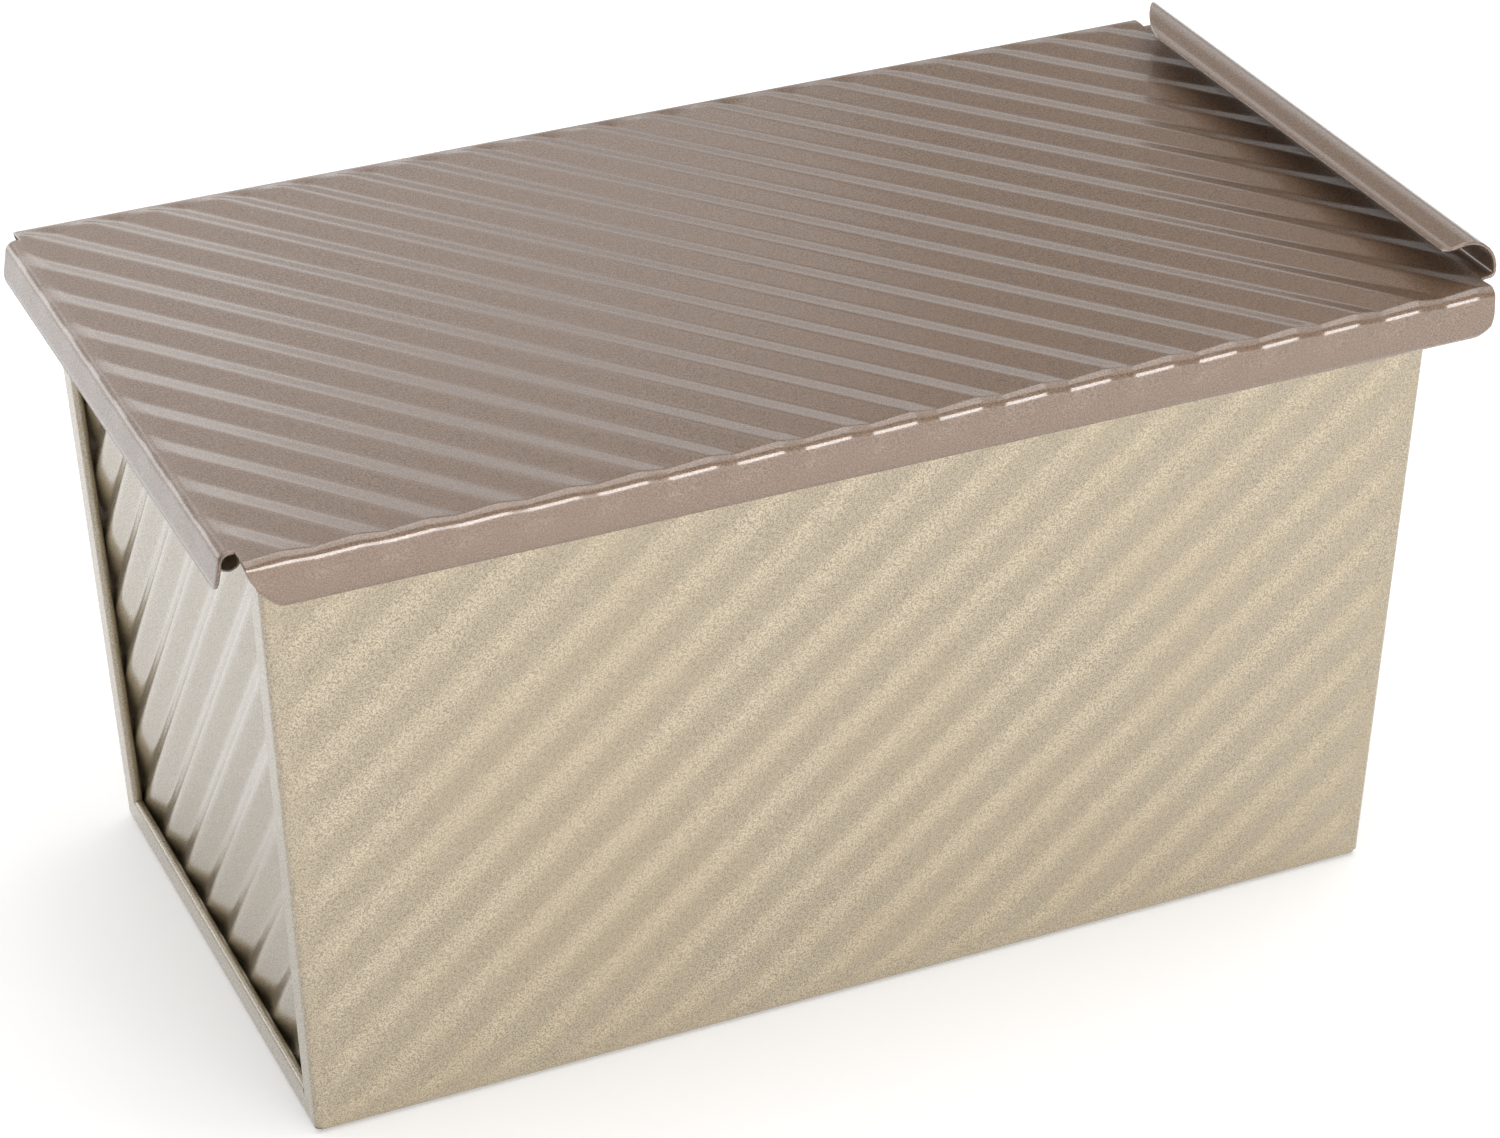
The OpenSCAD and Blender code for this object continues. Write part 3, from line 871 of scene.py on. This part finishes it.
@dataclass
class Lid:
    """Slide-on lid in one sheet: corrugated top, hooked skirts, lip and curled handle."""

    sizes: LidSizes
    material: Material
    wave: Corrugation = Corrugation(
        angle=math.radians(128.9), phase=5.03 * MM, pitch=9.1 * MM, rounding=0.35 * MM, steps=14
    )
    fade: float = 2.6 * MM
    fade_rows: int = 5
    lip_fade_rows: int = 3
    skirt_rows: int = 6
    lip_rows: int = 5
    skirt_ripple: float = 0.45 * MM
    lip_ripple: float = 0.2 * MM
    ripple_reach: float = 4.0 * MM
    lip_strength: float = 0.35

    def make(self) -> Object:
        """Cuts the lid, folds its edges and presses the wave, which runs on into skirts and lip.

        Returns:
            The finished piece.
        """
        z = self.sizes
        sheet = SheetMesh("slide_lid")
        sheet.field(self.wave, z.grip_x, z.fold_y)
        sheet.cut((-z.lip_x, 0.0, 0.0), (-1.0, 0.0, 0.0), True)
        sheet.cut((z.grip_x, 0.0, 0.0), (1.0, 0.0, 0.0), True)
        for side in SIDES:
            sheet.cut((0.0, side * z.fold_y, 0.0), (0.0, side, 0.0), True)
        sheet.scores(0, fade_places(z.grip_x, self.fade, self.fade_rows))
        sheet.scores(1, fade_places(z.fold_y, self.fade, self.fade_rows))
        sheet.scores(0, fade_places(-z.lip_x, self.fade, self.lip_fade_rows))
        sheet.scores(0, [-z.skirt_x0, z.skirt_x1])
        sheet.scores(1, [-z.flap_y, z.flap_y])
        waste = sheet.faces_where(lambda c: abs(c.y) > z.flap_y
                                  and (c.x < -z.skirt_x0 or c.x > z.skirt_x1))
        bmesh.ops.delete(sheet.bm, geom=waste, context="FACES")
        bmesh.ops.translate(sheet.bm, verts=sheet.bm.verts, vec=(0.0, 0.0, z.mid))
        top = list(sheet.bm.verts)
        skirts = [(side, self._fold_skirt(sheet, side)) for side in SIDES]
        lip = self._fold_lip(sheet)
        self._curl_handle(sheet)
        for vert in top:
            vert.co.z += self.wave.lift(vert.co.x, vert.co.y) * self.strength(vert.co.x, vert.co.y)
        for side, made in skirts:
            edge = Vector((0.0, side * z.fold_y, 0.0))
            self._ripple(made, Vector((0.0, side, 0.0)), edge, self.skirt_ripple)
        self._ripple(lip, Vector((-1.0, 0.0, 0.0)), Vector((-z.lip_x, 0.0, 0.0)), self.lip_ripple)
        return sheet.finish(z.pan.sheet, "lid", Body.COVER, self.material)

    def strength(self, u: float, v: float) -> float:
        """Returns how much of the wave is left, which fades towards handle, lip and far skirt."""
        z = self.sizes
        at_lip = self.lip_strength + (1.0 - self.lip_strength) * ease((u + z.lip_x) / self.fade)
        return at_lip * ease((z.grip_x - u) / self.fade) * ease((z.fold_y - v) / self.fade)

    def _ripple(self, verts: Iterable[BMVert], out: Vector, edge: Vector, amount: float) -> None:
        """Carries the wave round a fold, which rises and falls with it, and lets it fade below.

        Args:
            verts: Vertices of the folded stretch.
            out: Level direction in which the fold faces.
            edge: A point on the line at which the fold starts, at any height.
            amount: Depth of the ripple on the upright face, inwards only.
        """
        z = self.sizes
        for vert in verts:
            at = vert.co - out * (vert.co - edge).dot(out)
            lift = self.wave.lift(at.x, at.y) * self.strength(at.x, at.y)
            bend_left = (vert.co.z - z.mid) / z.bend + 1.0
            turn = math.sqrt(max(1.0 - bend_left ** 2, 0.0)) if bend_left > 0.0 else 1.0
            left = 1.0 - ease(-bend_left * z.bend / self.ripple_reach)
            vert.co.z += lift * left
            vert.co += out * turn * (lift / self.wave.height - 0.5) * amount * left

    def _fold_skirt(self, sheet: SheetMesh, side: float) -> list[BMVert]:
        """Folds one skirt down, hooks its edge in and rounds its corners.

        Args:
            sheet: The lid's sheet.
            side: Side of the lid, -1 for the near one.

        Returns:
            The vertices of the skirt.
        """
        z = self.sizes
        drop = z.skirt_h - z.fold_r - z.hook_bend - z.pan.sheet / 2.0
        edges = sheet.border(lambda a, b: min(side * a.y, side * b.y) > z.fold_y - ON_LINE)
        before = set(sheet.bm.verts)
        edges = sheet.strip(edges, Vector((0.0, side, 0.0)), DOWN, [(0.0, z.bend, RIGHT_ANGLE)])
        edges = sheet.run(edges, DOWN * drop, self.skirt_rows)
        sheet.strip(edges, DOWN, Vector((0.0, -side, 0.0)), [(0.0, z.hook_bend, z.hook_sweep)])
        made = [v for v in sheet.bm.verts if v not in before]
        low = z.mid + z.pan.sheet / 2.0 - z.skirt_h
        for x, way, radii, power in (
            (-z.skirt_x0, -1.0, z.corner_lip, z.corner_slant),
            (z.skirt_x1, 1.0, z.corner_grip, 2.0),
        ):
            centre = Vector((x - way * radii[0], 0.0, low + radii[1]))
            sheet.round_corner(centre, Vector((way, 0.0, 0.0)), radii, made, power)
        return made

    def _fold_lip(self, sheet: SheetMesh) -> list[BMVert]:
        """Folds the lip down over the end bead and rounds its corners.

        Args:
            sheet: The lid's sheet.

        Returns:
            The vertices of the lip.
        """
        z = self.sizes
        drop = z.lip_h - z.bend * (1.0 - math.sin(z.lip_splay)) - z.pan.sheet / 2.0
        edges = sheet.border(lambda a, b: max(a.x, b.x) < -z.lip_x + ON_LINE)
        before = set(sheet.bm.verts)
        edges = sheet.strip(edges, Vector((-1.0, 0.0, 0.0)), DOWN,
                            [(0.0, z.bend, RIGHT_ANGLE - z.lip_splay)])
        sheet.run(edges, Vector((-math.tan(z.lip_splay), 0.0, -1.0)) * drop, self.lip_rows)
        made = [v for v in sheet.bm.verts if v not in before]
        low = z.mid + z.pan.sheet / 2.0 - z.lip_h
        for side in SIDES:
            radius = z.lip_corner_r
            centre = Vector((0.0, side * (z.flap_y - radius), low + radius))
            sheet.round_corner(centre, Vector((0.0, side, 0.0)), (radius, radius), made)
        return made

    def _curl_handle(self, sheet: SheetMesh) -> None:
        """Curls the handle up and back over the lid and rounds its far corner."""
        z = self.sizes
        edges = sheet.border(lambda a, b: min(a.x, b.x) > z.grip_x - ON_LINE)
        before = set(sheet.bm.verts)
        sheet.strip(
            edges, Vector((1.0, 0.0, 0.0)), Vector((0.0, 0.0, 1.0)),
            [(0.0, z.grip_bend, z.grip_lean), (0.0, z.grip_r - z.pan.sheet / 2.0, z.grip_turn),
             (z.flick_run, z.flick_bend, -z.flick_turn), (z.flick_length, 0.0, 0.0)],
        )
        back_x = z.grip_x + z.grip_bend + z.pan.sheet / 2.0
        shift = z.grip_corner_r * math.sin(math.pi / 4.0)
        start = z.flap_y - shift
        for vert in sheet.bm.verts:
            if vert not in before and vert.co.y > start and vert.co.z > z.mid + z.grip_bend:
                across = back_x + shift - vert.co.x
                reach = start + math.sqrt(max(z.grip_corner_r ** 2 - across ** 2, 0.0))
                limit = min(reach, z.flap_y)
                vert.co.y = start + (vert.co.y - start) * (limit - start) / (z.flap_y - start)


@dataclass(frozen=True)
class CoatingFinish:
    """A satin coating with metal flakes under a clear top, as baked on to bakeware."""

    name: str
    dark: Colour
    light: Colour
    warm: Colour
    metallic: float
    roughness: float
    sheen: float = 0.10
    grain: float = 0.5
    grain_depth: float = 0.09 * MM
    coat_roughness: float = 0.13
    coat_ior: float = 1.8
    flake_size: float = 0.27 * MM
    cloud_size: float = 35.0 * MM

    def material(self) -> Material:
        """Builds the finish as a material.

        Returns:
            The new material.
        """
        made = bpy.data.materials.new(self.name)
        made.use_nodes = True
        tree = made.node_tree
        shader = tree.nodes["Principled BSDF"]
        place = tree.nodes.new("ShaderNodeTexCoord")
        flakes = tree.nodes.new("ShaderNodeGroup")
        flakes.node_tree = flake_group()
        scales = {"Flake Scale": 1.0 / self.flake_size, "Cloud Scale": 1.0 / self.cloud_size}
        set_inputs(flakes, scales)
        join(tree, place, "Object", flakes, "Place")
        flecks = self._mix(tree, self.dark, self.light)
        join(tree, flakes, "Flake", flecks, "Factor")
        clouds = self._mix(tree, self.dark, self.warm)
        join(tree, flecks, "Result", clouds, "A")
        join(tree, flakes, "Cloud", clouds, "Factor")
        join(tree, clouds, "Result", shader, "Base Color")
        sheen = tree.nodes.new("ShaderNodeMapRange")
        rough = {"To Min": self.roughness + self.sheen, "To Max": self.roughness - self.sheen}
        set_inputs(sheen, rough)
        join(tree, flakes, "Flake", sheen, "Value")
        join(tree, sheen, "Result", shader, "Roughness")
        bump = tree.nodes.new("ShaderNodeBump")
        set_inputs(bump, {"Strength": self.grain, "Distance": self.grain_depth})
        join(tree, flakes, "Flake", bump, "Height")
        join(tree, bump, "Normal", shader, "Normal")
        set_inputs(shader, {
            "Metallic": self.metallic,
            "Coat Weight": 1.0,
            "Coat Roughness": self.coat_roughness,
            "Coat IOR": self.coat_ior,
        })
        return made

    def _mix(self, tree: NodeTree, first: Colour, second: Colour) -> Node:
        """Adds a node that mixes two colours.

        Args:
            tree: Node tree of the material.
            first: Colour at a factor of 0.
            second: Colour at a factor of 1.

        Returns:
            The new node.
        """
        mix = tree.nodes.new("ShaderNodeMix")
        mix.data_type = "RGBA"
        set_inputs(mix, {"A": (*first, 1.0), "B": (*second, 1.0)})
        return mix


def flake_group() -> NodeTree:
    """Builds, once, the group that spreads metal flakes through a coating.

    Returns:
        The node group, with the inputs Place, Flake Scale and Cloud Scale and the outputs Flake
        and Cloud.
    """
    name = "metal_flakes"
    if name in bpy.data.node_groups:
        return bpy.data.node_groups[name]
    group = bpy.data.node_groups.new(name, "ShaderNodeTree")
    group.interface.new_socket("Place", in_out="INPUT", socket_type="NodeSocketVector")
    for title in ("Flake Scale", "Cloud Scale"):
        group.interface.new_socket(title, in_out="INPUT", socket_type="NodeSocketFloat")
    for title in ("Flake", "Cloud"):
        group.interface.new_socket(title, in_out="OUTPUT", socket_type="NodeSocketFloat")
    inlet = group.nodes.new("NodeGroupInput")
    outlet = group.nodes.new("NodeGroupOutput")
    for title, detail, most in (("Flake", 1.0, 1.0), ("Cloud", 2.0, 0.4)):
        noise = group.nodes.new("ShaderNodeTexNoise")
        set_inputs(noise, {"Detail": detail})
        level = group.nodes.new("ShaderNodeMapRange")
        set_inputs(level, {"From Min": 0.35, "From Max": 0.65, "To Max": most})
        join(group, inlet, "Place", noise, "Vector")
        join(group, inlet, f"{title} Scale", noise, "Scale")
        join(group, noise, "Fac", level, "Value")
        join(group, level, "Result", outlet, title)
    return group


@dataclass(frozen=True)
class Lamp:
    """One soft lamp: its direction from the front towards the right and its height, in degrees.

    The level is its share of the light that would show white paper facing it as white.
    """

    name: str
    azimuth: float
    elevation: float
    width: float
    height: float
    level: float


LAMPS = (
    Lamp("front_box", 5.0, 9.0, 1.4, 0.7, 0.87),
    Lamp("right_box", 90.0, 58.0, 2.0, 2.0, 0.50),
    Lamp("back_strip", 155.0, 9.0, 1.8, 0.5, 0.02),
    Lamp("back_high_strip", 160.0, 20.0, 1.8, 0.5, 0.062),
    Lamp("back_light", 180.0, 28.0, 1.0, 1.0, 0.08),
    Lamp("back_left_strip", 205.0, 8.0, 1.4, 0.5, 0.2),
    Lamp("left_box", 225.0, 50.0, 2.0, 2.0, 0.25),
    Lamp("top_box", 0.0, 89.9, 2.0, 2.0, 0.5),
)


@dataclass
class Studio:
    """Floor, soft light and the camera at the photograph's angle."""

    camera_at: tuple[float, float, float] = (-0.2650, -0.6135, 0.4438)
    aim_at: tuple[float, float, float] = (0.00236, -0.00179, 0.05680)
    roll: float = math.radians(-0.633)
    lens: float = 104.43
    sensor: float = 36.0
    nearest: float = 0.01
    floor_size: float = 4.0
    paper_tone: float = 0.86
    paper_roughness: float = 0.9
    floor_lift: float = 0.26
    daylight: float = 0.25
    lamp_distance: float = 1.6
    lamp_aim: tuple[float, float, float] = (0.0, 0.0, 0.06)

    def make(self) -> None:
        """Builds the whole studio."""
        self._place_camera()
        self._lay_floor()
        self._hang_lights()
        bpy.context.scene.view_settings.view_transform = "Standard"

    def _place_camera(self) -> None:
        """Places the camera."""
        data = bpy.data.cameras.new("camera")
        data.lens = self.lens
        data.sensor_width = self.sensor
        data.clip_start = self.nearest
        camera = add_object("camera", data)
        gaze = Vector(self.aim_at) - Vector(self.camera_at)
        turn = gaze.to_track_quat("-Z", "Y").to_matrix().to_4x4()
        roll = Matrix.Rotation(self.roll, 4, "Z")
        camera.matrix_world = Matrix.Translation(self.camera_at) @ turn @ roll
        bpy.context.scene.camera = camera

    def _lay_floor(self) -> None:
        """Lays the pale floor."""
        bm = bmesh.new()
        bmesh.ops.create_grid(bm, x_segments=1, y_segments=1, size=self.floor_size / 2.0)
        mesh = bpy.data.meshes.new("floor")
        bm.to_mesh(mesh)
        bm.free()
        floor = add_object("floor", mesh)
        mesh.materials.append(self._paper())

    def _paper(self) -> Material:
        """Makes the floor's white paper, which keeps the object's shadow.

        Returns:
            The new material.
        """
        paper = bpy.data.materials.new("floor_paper")
        paper.use_nodes = True
        tree = paper.node_tree
        shader = tree.nodes["Principled BSDF"]
        set_inputs(shader, {
            "Base Color": (self.paper_tone, self.paper_tone, self.paper_tone, 1.0),
            "Roughness": self.paper_roughness,
            "Specular IOR Level": 0.0,
            "Emission Color": (1.0, 1.0, 1.0, 1.0),
        })
        seen = self._seen(tree)
        lift = tree.nodes.new("ShaderNodeMapRange")
        set_inputs(lift, {"To Max": self.floor_lift})
        join(tree, seen, "Value", lift, "Value")
        join(tree, lift, "Result", shader, "Emission Strength")
        return paper

    def _seen(self, tree: NodeTree) -> Node:
        """Adds a value that is 1 for rays that see the floor directly, in metal or in glass.

        Args:
            tree: Node tree of the floor's paper.

        Returns:
            The node whose output is that value.
        """
        path = tree.nodes.new("ShaderNodeLightPath")
        seen, output = path, "Is Camera Ray"
        for ray in ("Is Glossy Ray", "Is Transmission Ray"):
            either = tree.nodes.new("ShaderNodeMath")
            either.operation = "MAXIMUM"
            tree.links.new(seen.outputs[output], either.inputs[0])
            tree.links.new(path.outputs[ray], either.inputs[1])
            seen, output = either, "Value"
        return seen

    def _hang_lights(self) -> None:
        """Sets the even world, which the camera sees as white, and the soft lamps."""
        world = bpy.data.worlds.new("studio")
        bpy.context.scene.world = world
        world.use_nodes = True
        tree = world.node_tree
        shade = tree.nodes["Background"]
        set_inputs(shade, {"Color": (1.0, 1.0, 1.0, 1.0)})
        path = tree.nodes.new("ShaderNodeLightPath")
        level = tree.nodes.new("ShaderNodeMapRange")
        set_inputs(level, {"To Min": self.daylight, "To Max": 1.0})
        join(tree, path, "Is Camera Ray", level, "Value")
        join(tree, level, "Result", shade, "Strength")
        for lamp in LAMPS:
            self._hang(lamp)

    def _hang(self, lamp: Lamp) -> None:
        """Hangs one soft lamp that looks at the object.

        Args:
            lamp: The lamp.
        """
        data = bpy.data.lights.new(lamp.name, "AREA")
        data.shape = "RECTANGLE"
        data.size, data.size_y = lamp.width, lamp.height
        data.energy = lamp.level * (math.pi * self.lamp_distance) ** 2
        made = add_object(lamp.name, data)
        around, up = math.radians(lamp.azimuth), math.radians(lamp.elevation)
        out = math.cos(up)
        way = Vector((math.sin(around) * out, -math.cos(around) * out, math.sin(up)))
        at = Vector(self.lamp_aim) + way * self.lamp_distance
        turn = (-way).to_track_quat("-Z", "Y").to_matrix().to_4x4()
        made.matrix_world = Matrix.Translation(at) @ turn


GOLD_FINISH = CoatingFinish(
    "gold_coating",
    dark=(0.20, 0.15, 0.078),
    light=(0.45, 0.365, 0.24),
    warm=(0.33, 0.255, 0.14),
    metallic=0.4,
    roughness=0.45,
    coat_ior=2.0,
)
ROSE_FINISH = CoatingFinish(
    "rose_brown_coating",
    dark=(0.10, 0.06, 0.034),
    light=(0.24, 0.148, 0.092),
    warm=(0.18, 0.105, 0.062),
    metallic=0.25,
    roughness=0.45,
    coat_roughness=0.16,
)


def main() -> None:
    """Builds the pan, its lid and the studio."""
    logging.basicConfig(level=logging.INFO, format="%(name)s: %(message)s")
    sizes = PanSizes()
    gold = GOLD_FINISH.material()
    rose = ROSE_FINISH.material()
    Wrap(sizes, gold).make()
    for end in End:
        EndPanel(sizes, gold, end).make()
    Lid(LidSizes(sizes), rose).make()
    Studio().make()


if __name__ == "__main__":
    main()
